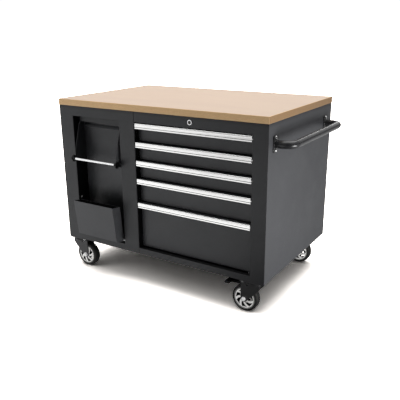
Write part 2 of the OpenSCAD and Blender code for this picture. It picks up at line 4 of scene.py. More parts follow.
import bpy  # noqa: E402
from mathutils import Matrix, Vector  # noqa: E402
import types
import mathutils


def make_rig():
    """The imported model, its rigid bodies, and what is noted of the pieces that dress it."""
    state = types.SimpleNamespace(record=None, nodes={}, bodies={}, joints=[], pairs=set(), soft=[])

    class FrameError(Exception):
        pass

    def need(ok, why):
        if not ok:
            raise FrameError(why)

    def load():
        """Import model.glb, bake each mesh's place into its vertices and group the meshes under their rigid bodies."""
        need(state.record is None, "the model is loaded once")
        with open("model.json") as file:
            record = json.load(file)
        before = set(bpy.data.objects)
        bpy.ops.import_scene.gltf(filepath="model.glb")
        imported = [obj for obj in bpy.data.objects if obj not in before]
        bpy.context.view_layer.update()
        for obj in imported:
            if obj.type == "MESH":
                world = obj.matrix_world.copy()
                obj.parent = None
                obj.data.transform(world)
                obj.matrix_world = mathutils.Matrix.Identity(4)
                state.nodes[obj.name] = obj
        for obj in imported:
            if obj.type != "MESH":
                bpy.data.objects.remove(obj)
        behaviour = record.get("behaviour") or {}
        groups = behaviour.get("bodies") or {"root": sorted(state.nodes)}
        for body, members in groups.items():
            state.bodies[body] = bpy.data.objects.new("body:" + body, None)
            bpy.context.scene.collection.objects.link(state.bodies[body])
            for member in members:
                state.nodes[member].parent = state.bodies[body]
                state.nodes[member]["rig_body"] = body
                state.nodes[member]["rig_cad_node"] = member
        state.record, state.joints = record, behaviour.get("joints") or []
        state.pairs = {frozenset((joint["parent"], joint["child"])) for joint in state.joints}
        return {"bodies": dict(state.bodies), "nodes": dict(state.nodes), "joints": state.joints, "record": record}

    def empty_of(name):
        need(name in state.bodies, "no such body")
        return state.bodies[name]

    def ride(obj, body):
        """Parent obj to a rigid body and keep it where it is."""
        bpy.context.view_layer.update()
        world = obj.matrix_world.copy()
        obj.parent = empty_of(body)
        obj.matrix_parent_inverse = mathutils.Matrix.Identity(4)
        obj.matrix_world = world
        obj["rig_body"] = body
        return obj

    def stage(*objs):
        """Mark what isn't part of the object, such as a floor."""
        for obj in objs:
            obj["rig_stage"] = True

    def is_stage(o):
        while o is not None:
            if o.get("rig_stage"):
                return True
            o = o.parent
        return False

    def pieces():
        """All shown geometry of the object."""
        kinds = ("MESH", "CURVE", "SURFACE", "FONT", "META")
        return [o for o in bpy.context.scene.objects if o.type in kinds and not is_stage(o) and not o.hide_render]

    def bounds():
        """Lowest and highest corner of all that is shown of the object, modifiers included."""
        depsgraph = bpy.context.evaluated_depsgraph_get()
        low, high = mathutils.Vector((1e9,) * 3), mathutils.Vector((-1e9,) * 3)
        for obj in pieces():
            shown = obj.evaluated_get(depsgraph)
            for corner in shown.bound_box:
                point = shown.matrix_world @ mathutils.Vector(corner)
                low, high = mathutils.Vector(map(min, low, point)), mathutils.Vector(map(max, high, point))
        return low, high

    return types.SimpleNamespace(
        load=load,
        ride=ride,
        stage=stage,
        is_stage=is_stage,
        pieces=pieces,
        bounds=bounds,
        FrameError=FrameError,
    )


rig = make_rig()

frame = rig.load()
NODES = frame["nodes"]
box_before = [list(v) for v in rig.bounds()]

scene = bpy.context.scene
for ob in list(scene.objects):
    if ob.type in ("LIGHT", "CAMERA") or (ob.type == "MESH" and "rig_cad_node" not in ob and ob.name == "Cube"):
        bpy.data.objects.remove(ob)

# cabinet coordinates (mm, from the top front left corner of the worktop) to the row frame (m)
XM, YM, ZH = 610.25, 332.5, 874.5

# light levels
FL_FLOOR = (0.05, 0.66, 1.07)
RR_FLOOR = (0.1, 0.9, 0.45)
FLOOR_GAIN = 2.6
FAR_SHEEN = 1.05
KICK_W = 17.0
STREAK_W = 1.1
UNDER = (0.55, 1.36)
REAR_SHEEN = 0.35
W_BASE, W_FL, W_RR, W_RL = 0.11, 0.45, 0.50, 0.9
TOP_W, RR_W, FL_W = 112.0, 9.2, 9.0


def R(x, y, z):
    return Vector(((x - XM) / 1000.0, (y - YM) / 1000.0, (z + ZH) / 1000.0))


# ----------------------------------------------------------------------------
# node material helpers
# ----------------------------------------------------------------------------
def srgb(r, g, b):
    def f(c):
        c = c / 255.0
        return c / 12.92 if c <= 0.04045 else ((c + 0.055) / 1.055) ** 2.4
    return (f(r), f(g), f(b), 1.0)


class M:
    """A small wrapper that builds a node material."""

    def __init__(self, name):
        self.m = bpy.data.materials.new(name)
        self.m.use_nodes = True
        self.t = self.m.node_tree
        self.bsdf = self.t.nodes["Principled BSDF"]
        self.obj = self.t.nodes.new("ShaderNodeTexCoord").outputs["Object"]
        self.bump_in = None

    def set(self, **kw):
        for k, v in kw.items():
            self.bsdf.inputs[k.replace("_", " ")].default_value = v
        return self

    def link(self, a, b):
        self.t.links.new(a, b)

    def node(self, kind, **props):
        n = self.t.nodes.new(kind)
        for k, v in props.items():
            setattr(n, k, v)
        return n

    def mapping(self, scale, loc=(0, 0, 0), rot=(0, 0, 0)):
        n = self.node("ShaderNodeMapping")
        n.inputs["Scale"].default_value = scale
        n.inputs["Location"].default_value = loc
        n.inputs["Rotation"].default_value = rot
        self.link(self.obj, n.inputs["Vector"])
        return n.outputs["Vector"]

    def noise(self, scale, detail=2.0, rough=0.5, vec=None, dist=0.0):
        n = self.node("ShaderNodeTexNoise")
        n.inputs["Scale"].default_value = scale
        n.inputs["Detail"].default_value = detail
        n.inputs["Roughness"].default_value = rough
        n.inputs["Distortion"].default_value = dist
        self.link(vec if vec is not None else self.obj, n.inputs["Vector"])
        return n.outputs["Fac"]

    def ramp(self, fac, stops, interp="LINEAR"):
        n = self.node("ShaderNodeValToRGB")
        n.color_ramp.interpolation = interp
        e = n.color_ramp.elements
        while len(e) < len(stops):
            e.new(0.5)
        for el, (p, c) in zip(e, stops):
            el.position = p
            el.color = c if len(c) == 4 else (*c, 1.0)
        self.link(fac, n.inputs["Fac"])
        return n.outputs["Color"]

    def range(self, fac, a, b, c, d):
        n = self.node("ShaderNodeMapRange")
        for k, v in zip(("From Min", "From Max", "To Min", "To Max"), (a, b, c, d)):
            n.inputs[k].default_value = v
        self.link(fac, n.inputs["Value"])
        return n.outputs["Result"]

    def mix(self, fac, a, b, blend="MIX"):
        n = self.node("ShaderNodeMix", data_type="RGBA", blend_type=blend)
        if isinstance(fac, float):
            n.inputs[0].default_value = fac
        else:
            self.link(fac, n.inputs[0])
        for sock, v in ((n.inputs[6], a), (n.inputs[7], b)):
            if isinstance(v, tuple):
                sock.default_value = v
            else:
                self.link(v, sock)
        return n.outputs[2]

    def math(self, op, a, b=None, c=None):
        n = self.node("ShaderNodeMath", operation=op)
        for i, v in enumerate((a, b, c)):
            if v is None:
                continue
            if isinstance(v, (int, float)):
                n.inputs[i].default_value = v
            else:
                self.link(v, n.inputs[i])
        return n.outputs[0]

    def bump(self, height, strength, distance):
        n = self.node("ShaderNodeBump")
        n.inputs["Strength"].default_value = strength
        n.inputs["Distance"].default_value = distance
        self.link(height, n.inputs["Height"])
        if self.bump_in is not None:
            self.link(self.bump_in, n.inputs["Normal"])
        self.bump_in = n.outputs["Normal"]
        self.link(self.bump_in, self.bsdf.inputs["Normal"])
        return self

    def color(self, out):
        self.link(out, self.bsdf.inputs["Base Color"])
        return self

    def rough(self, out):
        self.link(out, self.bsdf.inputs["Roughness"])
        return self


def powder(name, rgb, rough=0.42, vary=0.05, grain=0.35, top_shade=None, low_shade=None, under=(-0.048, -0.031)):
    """Fine-textured powder coat: tiny orange peel, a little tone and gloss variation, optional painted shade at the top
    and low down.
    """
    m = M(name)
    base = srgb(*rgb)
    big = m.noise(3.1, 3.0, 0.55)
    fine = m.noise(900.0, 2.0, 0.6)
    peel = m.noise(420.0, 1.0, 0.4)
    lo = tuple(c * (1 - vary) for c in base[:3]) + (1.0,)
    hi = tuple(c * (1 + vary) for c in base[:3]) + (1.0,)
    tone = m.ramp(big, [(0.35, lo), (0.65, hi)])
    speck = m.ramp(fine, [(0.40, (0.82, 0.82, 0.82, 1)), (0.62, (1.12, 1.12, 1.12, 1))])
    tone = m.mix(1.0, tone, speck, "MULTIPLY")
    if top_shade:
        # painted shade: the coat is painted darker in a band at its top, right under the board or the edge above it
        up = m.node("ShaderNodeSeparateXYZ")
        m.link(m.obj, up.inputs[0])
        tone = m.mix(m.range(up.outputs["Z"], ZH / 1000.0 + under[0], ZH / 1000.0 + under[1], 0.0, top_shade), tone, (0.0, 0.0, 0.0, 1.0))
    if low_shade:
        # painted shade: the coat is painted darker low inside the bay
        up = m.node("ShaderNodeSeparateXYZ")
        m.link(m.obj, up.inputs[0])
        tone = m.mix(m.range(up.outputs["Z"], ZH / 1000.0 + low_shade[0], ZH / 1000.0 + low_shade[1], 0.85, 0.0), tone, (0.0, 0.0, 0.0, 1.0))
    m.color(tone)
    m.rough(m.range(m.noise(7.0, 4.0, 0.6), 0.3, 0.7, rough - 0.04, rough + 0.05))
    m.bump(peel, grain * 0.5, 0.0004)
    m.bump(fine, grain * 0.25, 0.0002)
    m.set(IOR=1.5)
    return m


# ----------------------------------------------------------------------------
# materials
# ----------------------------------------------------------------------------
def make_materials():
    out = {}
    # the front, side and bracket apron coats get painted shade at their top, right under the board or the edge above
    out["front"] = powder("coat_front", (35, 36, 39), top_shade=0.78).m
    # the side coat is the front's anthracite painted lighter for the stronger light on the sides: painted light
    out["side"] = powder("coat_side_painted_light", (70, 71, 74), rough=0.5, top_shade=0.5).m
    # the inner coat is painted darker low inside the bay: painted shade
    out["inner"] = powder("coat_inner", (65, 66, 69), low_shade=(-0.505, -0.435)).m
    # near-black coat for inner side walls that lie in shade: painted shade
    out["inner_side"] = powder("coat_inner_side", (6, 6, 7), rough=0.7).set(Specular_IOR_Level=0.12).m
    # near-black coat for the frames' folded returns: painted shade
    out["return"] = powder("coat_return_painted_shade", (20, 20, 21), rough=0.5).set(Specular_IOR_Level=0.25).m
    out["drawer"] = powder("coat_drawer", (55, 56, 59)).m
    out["holder"] = powder("coat_holder", (62, 63, 66)).m
    # near-black coat for the bin's inward faces: painted shade
    out["bin_inside"] = powder("coat_bin_inside", (13, 13, 14), rough=0.6).set(Specular_IOR_Level=0.2).m
    # lighter coat for the bin's right side: painted light
    out["bin_side"] = powder("coat_bin_side", (88, 89, 92)).m
    out["bracket"] = powder("coat_bracket", (43, 44, 47)).m
    # the apron coat has painted shade in a band at its top, under the frame's edge
    out["bracket_apron"] = powder("coat_bracket_apron", (34, 35, 37), top_shade=0.7, under=(-0.0875, -0.0855)).m
    # much lighter coat for the bracket's top lip: painted light
    out["bracket_lip"] = powder("coat_bracket_lip", (104, 105, 108)).m
    # darker coat for the left cheek's faces: painted shade
    out["bracket_side"] = powder("coat_bracket_side", (36, 37, 39), rough=0.5).set(Specular_IOR_Level=0.35).m
    # lighter coat for the right cheek's faces: painted light
    out["bracket_outer"] = powder("coat_bracket_outer", (88, 89, 92), rough=0.5).m
    out["handle"] = powder("coat_handle", (40, 40, 42), rough=0.24, grain=0.08).m
    out["fork"] = powder("coat_fork", (55, 55, 56), rough=0.42).m

    # layered wood
    m = M("wood_worktop")
    geo = m.node("ShaderNodeNewGeometry")
    sep_n = m.node("ShaderNodeSeparateXYZ")
    m.link(geo.outputs["True Normal"], sep_n.inputs[0])
    sep_p = m.node("ShaderNodeSeparateXYZ")
    m.link(m.obj, sep_p.inputs[0])
    # face veneer: long soft figure along x
    v = m.mapping((1.0, 9.0, 9.0))
    figure = m.noise(2.6, 5.0, 0.62, v, 0.6)
    pores = m.noise(55.0, 3.0, 0.65, m.mapping((1.2, 22.0, 22.0)))
    fleck = m.noise(160.0, 2.0, 0.5, m.mapping((1.0, 6.0, 6.0)))
    face = m.ramp(figure, [(0.25, srgb(191, 162, 138)), (0.5, srgb(198, 172, 148)), (0.78, srgb(205, 181, 158))])
    face = m.mix(m.range(pores, 0.55, 0.75, 0.0, 0.35), face, srgb(170, 138, 110))
    face = m.mix(m.range(fleck, 0.62, 0.75, 0.0, 0.25), face, srgb(154, 120, 90))
    # edge: plies along z, alternating grain
    zmm = m.math("MULTIPLY", sep_p.outputs["Z"], 1000.0)
    ply = m.math("FRACT", m.math("DIVIDE", zmm, 3.0))
    plymask = m.math("GREATER_THAN", ply, 0.5)
    wob = m.noise(30.0, 3.0, 0.6, m.mapping((1.0, 1.0, 14.0)))
    edge_a = m.ramp(wob, [(0.3, srgb(238, 198, 146)), (0.7, srgb(250, 212, 160))])
    edge_b = m.ramp(wob, [(0.3, srgb(204, 162, 108)), (0.7, srgb(220, 178, 124))])
    edge = m.mix(plymask, edge_a, edge_b)
    glue = m.math("LESS_THAN", m.math("FRACT", m.math("DIVIDE", zmm, 1.5)), 0.09)
    edge = m.mix(m.math("MULTIPLY", glue, 0.55), edge, srgb(150, 110, 68))
    is_top = m.math("GREATER_THAN", m.math("ABSOLUTE", sep_n.outputs["Z"]), 0.8)
    # the right end of the board's edge is painted darker: painted shade
    shaded_end = m.math("GREATER_THAN", sep_n.outputs["X"], 0.8)
    edge = m.mix(m.math("MULTIPLY", shaded_end, 0.72), edge, srgb(120, 86, 52))
    m.color(m.mix(is_top, edge, face))
    m.rough(m.range(figure, 0.3, 0.7, 0.36, 0.46))
    m.bump(pores, 0.08, 0.0003)
    m.set(IOR=1.48, Coat_Weight=0.15, Coat_Roughness=0.25)
    out["wood"] = m.m

    # anodised aluminium, drawn along x
    m = M("alu_pull")
    streak = m.noise(40.0, 4.0, 0.6, m.mapping((0.6, 60.0, 60.0)))
    fine = m.noise(600.0, 2.0, 0.5, m.mapping((0.05, 1.0, 1.0)))
    m.color(m.ramp(streak, [(0.3, srgb(250, 250, 249)), (0.7, srgb(254, 254, 253))]))
    m.rough(m.range(fine, 0.3, 0.7, 0.12, 0.20))
    m.bump(fine, 0.06, 0.0001)
    m.set(Metallic=1.0, Coat_Weight=0.0)
    out["alu"] = m.m

    # darker, rougher coat for the groove in the pull: painted shade with a duller finish
    m = M("alu_groove_painted_shade")
    streak = m.noise(40.0, 4.0, 0.6, m.mapping((0.6, 60.0, 60.0)))
    m.color(m.ramp(streak, [(0.3, srgb(150, 150, 148)), (0.7, srgb(168, 168, 166))]))
    m.rough(m.range(streak, 0.3, 0.7, 0.35, 0.45))
    m.set(Metallic=0.9)
    out["groove"] = m.m

    m = M("zinc_plate")
    n1 = m.noise(18.0, 4.0, 0.6)
    n2 = m.noise(240.0, 2.0, 0.5, m.mapping((1, 0.1, 1)))
    m.color(m.ramp(n1, [(0.3, srgb(176, 180, 184)), (0.7, srgb(204, 206, 206))]))
    m.rough(m.range(n2, 0.3, 0.7, 0.24, 0.38))
    m.set(Metallic=1.0)
    out["zinc"] = m.m

    m = M("bright_bolt")
    n1 = m.noise(300.0, 3.0, 0.6)
    m.color(m.ramp(n1, [(0.3, srgb(212, 213, 214)), (0.7, srgb(236, 236, 236))]))
    m.rough(m.range(n1, 0.3, 0.7, 0.18, 0.3))
    m.set(Metallic=1.0)
    out["bolt"] = m.m

    m = M("chrome_rod")
    n1 = m.noise(120.0, 3.0, 0.6, m.mapping((0.05, 1, 1)))
    m.color(m.ramp(n1, [(0.3, srgb(246, 247, 248)), (0.7, srgb(252, 252, 253))]))
    m.rough(m.range(n1, 0.3, 0.7, 0.07, 0.14))
    m.set(Metallic=1.0)
    out["chrome"] = m.m

    m = M("plastic_black")
    n1 = m.noise(700.0, 2.0, 0.5)
    m.color(m.ramp(n1, [(0.3, srgb(11, 11, 12)), (0.7, srgb(16, 16, 17))]))
    m.rough(m.range(m.noise(9.0, 3.0), 0.3, 0.7, 0.22, 0.30))
    m.bump(n1, 0.12, 0.0002)
    m.set(Specular_IOR_Level=0.35)
    out["plastic"] = m.m

    m = M("rim_face")
    n1 = m.noise(60.0, 3.0, 0.6)
    n2 = m.noise(500.0, 2.0, 0.5)
    m.color(m.ramp(n1, [(0.3, srgb(244, 243, 240)), (0.7, srgb(250, 249, 247))]))
    m.rough(m.range(n2, 0.3, 0.7, 0.24, 0.34))
    m.bump(n2, 0.05, 0.0002)
    m.set(Metallic=0.1)
    m.set(Specular_IOR_Level=0.8)
    out["rim"] = m.m

    # near-black coat for the rim's pockets and inner faces: painted shade
    m = M("rim_pocket_painted_shade")
    n2 = m.noise(500.0, 2.0, 0.5)
    m.color(m.ramp(n2, [(0.3, srgb(5, 5, 5)), (0.7, srgb(8, 8, 8))]))
    m.rough(m.range(n2, 0.3, 0.7, 0.45, 0.6))
    m.set(Specular_IOR_Level=0.2)
    out["rim_pocket_painted_shade"] = m.m

    # darker, duller coat for the raised edge ring: painted shade with a duller finish
    m = M("rim_edge_painted_shade")
    n2 = m.noise(500.0, 2.0, 0.5)
    m.color(m.ramp(n2, [(0.3, srgb(112, 112, 110)), (0.7, srgb(124, 124, 122))]))
    m.rough(m.range(n2, 0.3, 0.7, 0.4, 0.5))
    m.set(Specular_IOR_Level=0.3)
    out["rim_edge_painted_shade"] = m.m

    m = M("hub_bolt")
    n1 = m.noise(300.0, 3.0, 0.6)
    m.color(m.ramp(n1, [(0.3, srgb(240, 240, 240)), (0.7, srgb(252, 252, 252))]))
    m.rough(m.range(n1, 0.3, 0.7, 0.2, 0.3))
    m.set(Metallic=0.3)
    out["hub"] = m.m

    m = M("lock_key_face")
    n1 = m.noise(900.0, 2.0, 0.5)
    m.color(m.ramp(n1, [(0.3, srgb(58, 56, 54)), (0.7, srgb(84, 82, 78))]))
    m.rough(m.range(n1, 0.3, 0.7, 0.3, 0.42))
    m.set(Metallic=0.7)
    out["key"] = m.m

    m = M("rubber_tyre")
    n1 = m.noise(12.0, 4.0, 0.6)
    n2 = m.noise(650.0, 3.0, 0.6)
    m.color(m.ramp(n1, [(0.3, srgb(24, 23, 22)), (0.7, srgb(33, 32, 31))]))
    m.rough(m.range(n1, 0.3, 0.7, 0.62, 0.78))
    m.bump(n2, 0.25, 0.0003)
    out["tyre"] = m.m
    return out


MATS = make_materials()


def mat_for(n):
    if n == "worktop":
        return "wood"
    if n in ("left_front_frame", "right_front_frame"):
        return "front"
    # side panels and back take the lighter side coat, which is painted light
    if n in ("left_side_panel", "right_side_panel", "back_panel"):
        return "side"
    if n in ("base_panel", "partition_panel", "slide_liner", "recess_tub"):
        return "inner"
    if n == "roll_bracket":
        return "bracket"
    if n == "waste_bin":
        return "holder"
    if n == "push_handle":
        return "handle"
    if n == "fixing_bolts":
        return "bolt"
    if n in ("lock_housing", "roll_rod"):
        return "chrome"
    if n == "lock_barrel":
        return "key"
    if n.endswith("_axle"):
        return "hub"
    if n.endswith("_tub"):
        return "drawer"
    if n.endswith("_pull"):
        return "alu"
    if n == "caster_plates" or n.endswith("_fork"):
        return "fork"
    if n.endswith("_rim"):
        return "rim"
    if n.endswith("_tyre"):
        return "tyre"
    if n.startswith("brake_pedal") or n == "roll_knobs":
        return "plastic"
    return "zinc"


BEVEL = {
    "worktop": (0.0008, 2), "left_side_panel": (0.0005, 2), "right_side_panel": (0.0005, 2),
    "back_panel": (0.0004, 2), "left_front_frame": (0.0007, 3), "right_front_frame": (0.0004, 2),
    "waste_bin": (0.0005, 3), "roll_bracket": (0.0005, 2), "push_handle": (0.0006, 2),
    "recess_tub": (0.0004, 2), "fixing_bolts": (0.0004, 2), "lock_housing": (0.0003, 2),
    "lock_barrel": (0.0002, 2), "roll_knobs": (0.0004, 2), "roll_rod": (0.0006, 2),
    "caster_plates": (0.0005, 2),
}
for i in range(1, 6):
    BEVEL["drawer_%d_tub" % i] = (0.0004, 2)
    BEVEL["drawer_%d_pull" % i] = (0.0003, 2)
for k in ("fl", "fr", "rl", "rr"):
    BEVEL["caster_%s_fork" % k] = (0.0008, 2)
    BEVEL["caster_%s_axle" % k] = (0.0005, 2)
    BEVEL["caster_%s_rim" % k] = (0.0006, 2)
    BEVEL["caster_%s_tyre" % k] = (0.0004, 2)
BEVEL["brake_pedal_fr"] = BEVEL["brake_pedal_rr"] = (0.0010, 2)


def drop_custom_normals(ob):
    bpy.context.view_layer.objects.active = ob
    with bpy.context.temp_override(object=ob, active_object=ob, selected_objects=[ob]):
        try:
            bpy.ops.mesh.customdata_custom_splitnormals_clear()
        except RuntimeError:
            pass


def disc_axis(ob):
    """The axis of a round, flat piece: the horizontal heading along which its corners reach least."""
    pts = [ob.matrix_world @ v.co for v in ob.data.vertices]
    best = None
    for k in range(180):
        a = math.pi * k / 180.0
        c, s = math.cos(a), math.sin(a)
        d = [q.x * c + q.y * s for q in pts]
        reach = max(d) - min(d)
        if best is None or reach < best[0]:
            best = (reach, Vector((c, s, 0.0)))
    return best[1]


PULL_TOP = (-82.9, -169.0, -255.1, -341.2, -457.0)

for name, ob in NODES.items():
    ob.data.materials.clear()
    ob.data.materials.append(MATS[mat_for(name)])
    if name.endswith("_pull"):
        # the long groove in the face of the strip gets a darker, rougher coat: painted shade in the groove
        ob.data.materials.append(MATS["groove"])
        g = PULL_TOP[int(name.split("_")[1]) - 1] - 17.2
        front = min(v.co.y for v in ob.data.vertices)
        for p in ob.data.polygons:
            if abs(p.center.z * 1000.0 - ZH - g) < 1.5 and 0.0003 < p.center.y - front < 0.0017:
                p.material_index = 1
    if name == "waste_bin":
        ob.data.materials.append(MATS["bin_side"])
        ob.data.materials.append(MATS["bin_inside"])
        core = sum((v.co for v in ob.data.vertices), Vector()) / len(ob.data.vertices)
        for p in ob.data.polygons:
            out = p.center - core
            if max(abs(c) for c in p.normal[:2]) < 0.5:
                continue
            # the bin's inward faces get the near-black coat: painted shade
            if p.normal.dot(out) < 0.0:
                p.material_index = 2
            # the bin's right-facing faces get a lighter coat: painted light
            elif p.normal.x > 0.5:
                p.material_index = 1
    # the side faces of the partition and slide liner get the near-black coat: painted shade
    if name in ("partition_panel", "slide_liner"):
        ob.data.materials.append(MATS["inner_side"])
        for p in ob.data.polygons:
            if abs(p.normal.x) > 0.9:
                p.material_index = 1
    if name in ("right_front_frame", "left_front_frame"):
        # the folded returns behind the face get a near-black coat: painted shade in the gaps
        ob.data.materials.append(MATS["return"])
        face = min(v.co.y for v in ob.data.vertices)
        for p in ob.data.polygons:
            if p.center.y - face > 0.0025 and abs(p.normal.y) < 0.5:
                p.material_index = 1
    if name.endswith("_rim"):
        ob.data.materials.append(MATS["rim_pocket_painted_shade"])
        ob.data.materials.append(MATS["rim_edge_painted_shade"])
        axis = ob.matrix_world.to_3x3().inverted() @ disc_axis(ob)
        reach = [v.co.dot(axis) for v in ob.data.vertices]
        mid = 0.5 * (min(reach) + max(reach))
        for p in ob.data.polygons:
            # only the outward faces of the ring, spokes and hub keep the bright coat; all other faces get the
            # near-black one, painted shade in the pockets
            out_by = p.center.dot(axis) - mid
            facing = p.normal.dot(axis)
            if abs(facing) < 0.55 or abs(out_by) < 0.015 or facing * out_by < 0.0:
                p.material_index = 1
            elif 0.018 < abs(out_by) < 0.0188:
                # the raised edge ring: a duller finish, and painted darker than the spokes as shade
                p.material_index = 2
    if name == "roll_bracket":
        ob.data.materials.append(MATS["bracket_side"])
        ob.data.materials.append(MATS["bracket_outer"])
        ob.data.materials.append(MATS["bracket_apron"])
        ob.data.materials.append(MATS["bracket_lip"])
        mid_x = sum(v.co.x for v in ob.data.vertices) / len(ob.data.vertices)
        high = max(v.co.z for v in ob.data.vertices)
        for p in ob.data.polygons:
            # the cheeks' side faces: the left cheek is darker (painted shade), the right cheek lighter (painted light)
            if abs(p.normal.x) > 0.9:
                p.material_index = 1 if p.center.x < mid_x else 2
            # the apron band: a darker coat with painted shade at its top
            elif p.normal.y < -0.9 and p.center.z > high - 0.026 and p.center.z < high - 0.003:
                p.material_index = 3
            # the top lip gets a much lighter coat: painted light
            elif p.normal.y < -0.4 and p.normal.z > 0.4 and p.center.z > high - 0.06:
                p.material_index = 4
    # the side walls of the bay get the near-black coat: painted shade
    if name == "recess_tub":
        ob.data.materials.append(MATS["inner_side"])
        for p in ob.data.polygons:
            if abs(p.normal.x) > 0.9:
                p.material_index = 1
    if name in BEVEL:
        drop_custom_normals(ob)
        w, seg = BEVEL[name]
        weld = ob.modifiers.new("weld", "WELD")
        weld.merge_threshold = 0.00001
        dec = ob.modifiers.new("flat", "DECIMATE")
        dec.decimate_type = "DISSOLVE"
        dec.angle_limit = math.radians(0.3)
        dec.delimit = {"MATERIAL"}
        bev = ob.modifiers.new("edge", "BEVEL")
        bev.width = w
        bev.segments = seg
        bev.limit_method = "ANGLE"
        bev.angle_limit = math.radians(32)
        bev.use_clamp_overlap = True
        bev.harden_normals = False
        wn = ob.modifiers.new("normals", "WEIGHTED_NORMAL")
        wn.keep_sharp = False
        for p in ob.data.polygons:
            p.use_smooth = True

# ----------------------------------------------------------------------------
# small finishing pieces: the domed socket screw on each brake pedal
# ----------------------------------------------------------------------------
def revolve(name, profile, seg, mat):
    """A closed body of revolution about its own Z axis from (radius, height) pairs, axis to axis."""
    verts, faces = [], []
    rings = []
    for r, z in profile:
        if r == 0.0:
            rings.append([len(verts)])
            verts.append((0.0, 0.0, z))
        else:
            rings.append(list(range(len(verts), len(verts) + seg)))
            verts += [(r * math.cos(2 * math.pi * k / seg), r * math.sin(2 * math.pi * k / seg), z) for k in range(seg)]
    for a, b in zip(rings, rings[1:]):
        for k in range(seg):
            n = (k + 1) % seg
            if len(a) == 1:
                faces.append((a[0], b[n], b[k]))
            elif len(b) == 1:
                faces.append((a[k], a[n], b[0]))
            else:
                faces.append((a[k], a[n], b[n], b[k]))
    me = bpy.data.meshes.new(name)
    me.from_pydata(verts, [], faces)
    me.update()
    for p in me.polygons:
        p.use_smooth = True
    ob = bpy.data.objects.new(name, me)
    scene.collection.objects.link(ob)
    ob.data.materials.append(mat)
    es = ob.modifiers.new("crisp", "EDGE_SPLIT")
    es.split_angle = math.radians(40)
    return ob


for key, y_off in (("fr", 0.0), ("rr", 614.0)):
    screw = revolve("pedal_screw_" + key, [
        (0.0, -0.0012), (0.0048, -0.0012), (0.0048, 0.0006), (0.0045, 0.0016), (0.0038, 0.0026),
        (0.0026, 0.0031), (0.0021, 0.0031), (0.0019, 0.0014), (0.0, 0.0011)], 32, MATS["hub"])
    screw.location = R(1006.1, 44.0 + y_off, -742.8)
    screw.rotation_euler = (0.0, math.radians(-8.6), 0.0)
    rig.ride(screw, "swivel_" + key)

# ----------------------------------------------------------------------------
# floor, light, camera
# ----------------------------------------------------------------------------
def lobe(tree, vec, direction, lo, hi):
    """Smooth weight 0..1 of how far a horizontal heading agrees with a direction."""
    flat = tree.nodes.new("ShaderNodeVectorMath")
    flat.operation = "MULTIPLY"
    flat.inputs[1].default_value = (1.0, 1.0, 0.0)
    tree.links.new(vec, flat.inputs[0])
    unit = tree.nodes.new("ShaderNodeVectorMath")
    unit.operation = "NORMALIZE"
    tree.links.new(flat.outputs[0], unit.inputs[0])
    dot = tree.nodes.new("ShaderNodeVectorMath")
    dot.operation = "DOT_PRODUCT"
    dot.inputs[1].default_value = direction
    tree.links.new(unit.outputs[0], dot.inputs[0])
    rng = tree.nodes.new("ShaderNodeMapRange")
    rng.interpolation_type = "SMOOTHSTEP"
    rng.inputs["From Min"].default_value = lo
    rng.inputs["From Max"].default_value = hi
    tree.links.new(dot.outputs["Value"], rng.inputs["Value"])
    return rng.outputs["Result"]


def madd(tree, a, b, c):
    n = tree.nodes.new("ShaderNodeMath")
    n.operation = "MULTIPLY_ADD"
    for i, v in enumerate((a, b, c)):
        if isinstance(v, (int, float)):
            n.inputs[i].default_value = v
        else:
            tree.links.new(v, n.inputs[i])
    return n.outputs[0]


FRONT_LEFT = (-0.78, -0.62, 0.0)
RIGHT_REAR = (0.80, 0.60, 0.0)
REAR_LEFT = (-0.50, 0.866, 0.0)
REAR_RIGHT = (0.42, 0.907, 0.0)

bpy.ops.mesh.primitive_plane_add(size=60.0, location=(0, 0, 0))
floor = bpy.context.object
floor.name = "studio_floor"
fm = M("studio_floor")
pale = fm.noise(1.2, 2.0)
fm.color(fm.ramp(pale, [(0.3, (1.0, 0.99, 0.98, 1)), (0.7, (1.0, 1.0, 0.99, 1))]))
fm.set(Roughness=1.0, Specular_IOR_Level=0.0)
# a second, toned version of the floor lights the object from two sides
tone = madd(fm.t, lobe(fm.t, fm.obj, FRONT_LEFT, FL_FLOOR[0], FL_FLOOR[1]), FL_FLOOR[2], 0.10)
tone = madd(fm.t, lobe(fm.t, fm.obj, RIGHT_REAR, RR_FLOOR[0], RR_FLOOR[1]), RR_FLOOR[2], tone)
dist = fm.node("ShaderNodeVectorMath", operation="LENGTH")
fm.link(fm.obj, dist.inputs[0])
path = fm.node("ShaderNodeLightPath")
sheen_far = fm.math("MULTIPLY", fm.range(dist.outputs["Value"], 1.8, 5.5, 0.0, FAR_SHEEN), path.outputs["Is Glossy Ray"])
sheen_far = fm.math("MULTIPLY", sheen_far, lobe(fm.t, fm.obj, FRONT_LEFT, 0.84, 0.97))
tone = madd(fm.t, tone, sheen_far, tone)
sheen_rear = fm.math("MULTIPLY", fm.range(dist.outputs["Value"], 1.0, 3.0, 0.0, REAR_SHEEN), path.outputs["Is Glossy Ray"])
tone = madd(fm.t, sheen_rear, lobe(fm.t, fm.obj, REAR_RIGHT, 0.72, 0.96), tone)
dif = fm.node("ShaderNodeBsdfDiffuse")
fm.link(tone, dif.inputs["Color"])
bright = fm.node("ShaderNodeBsdfDiffuse")
gain = fm.node("ShaderNodeMix", data_type="RGBA", blend_type="MULTIPLY")
gain.inputs[0].default_value = 1.0
fm.link(fm.ramp(pale, [(0.3, (1.0, 0.955, 0.915, 1)), (0.7, (1.0, 0.965, 0.925, 1))]), gain.inputs[6])
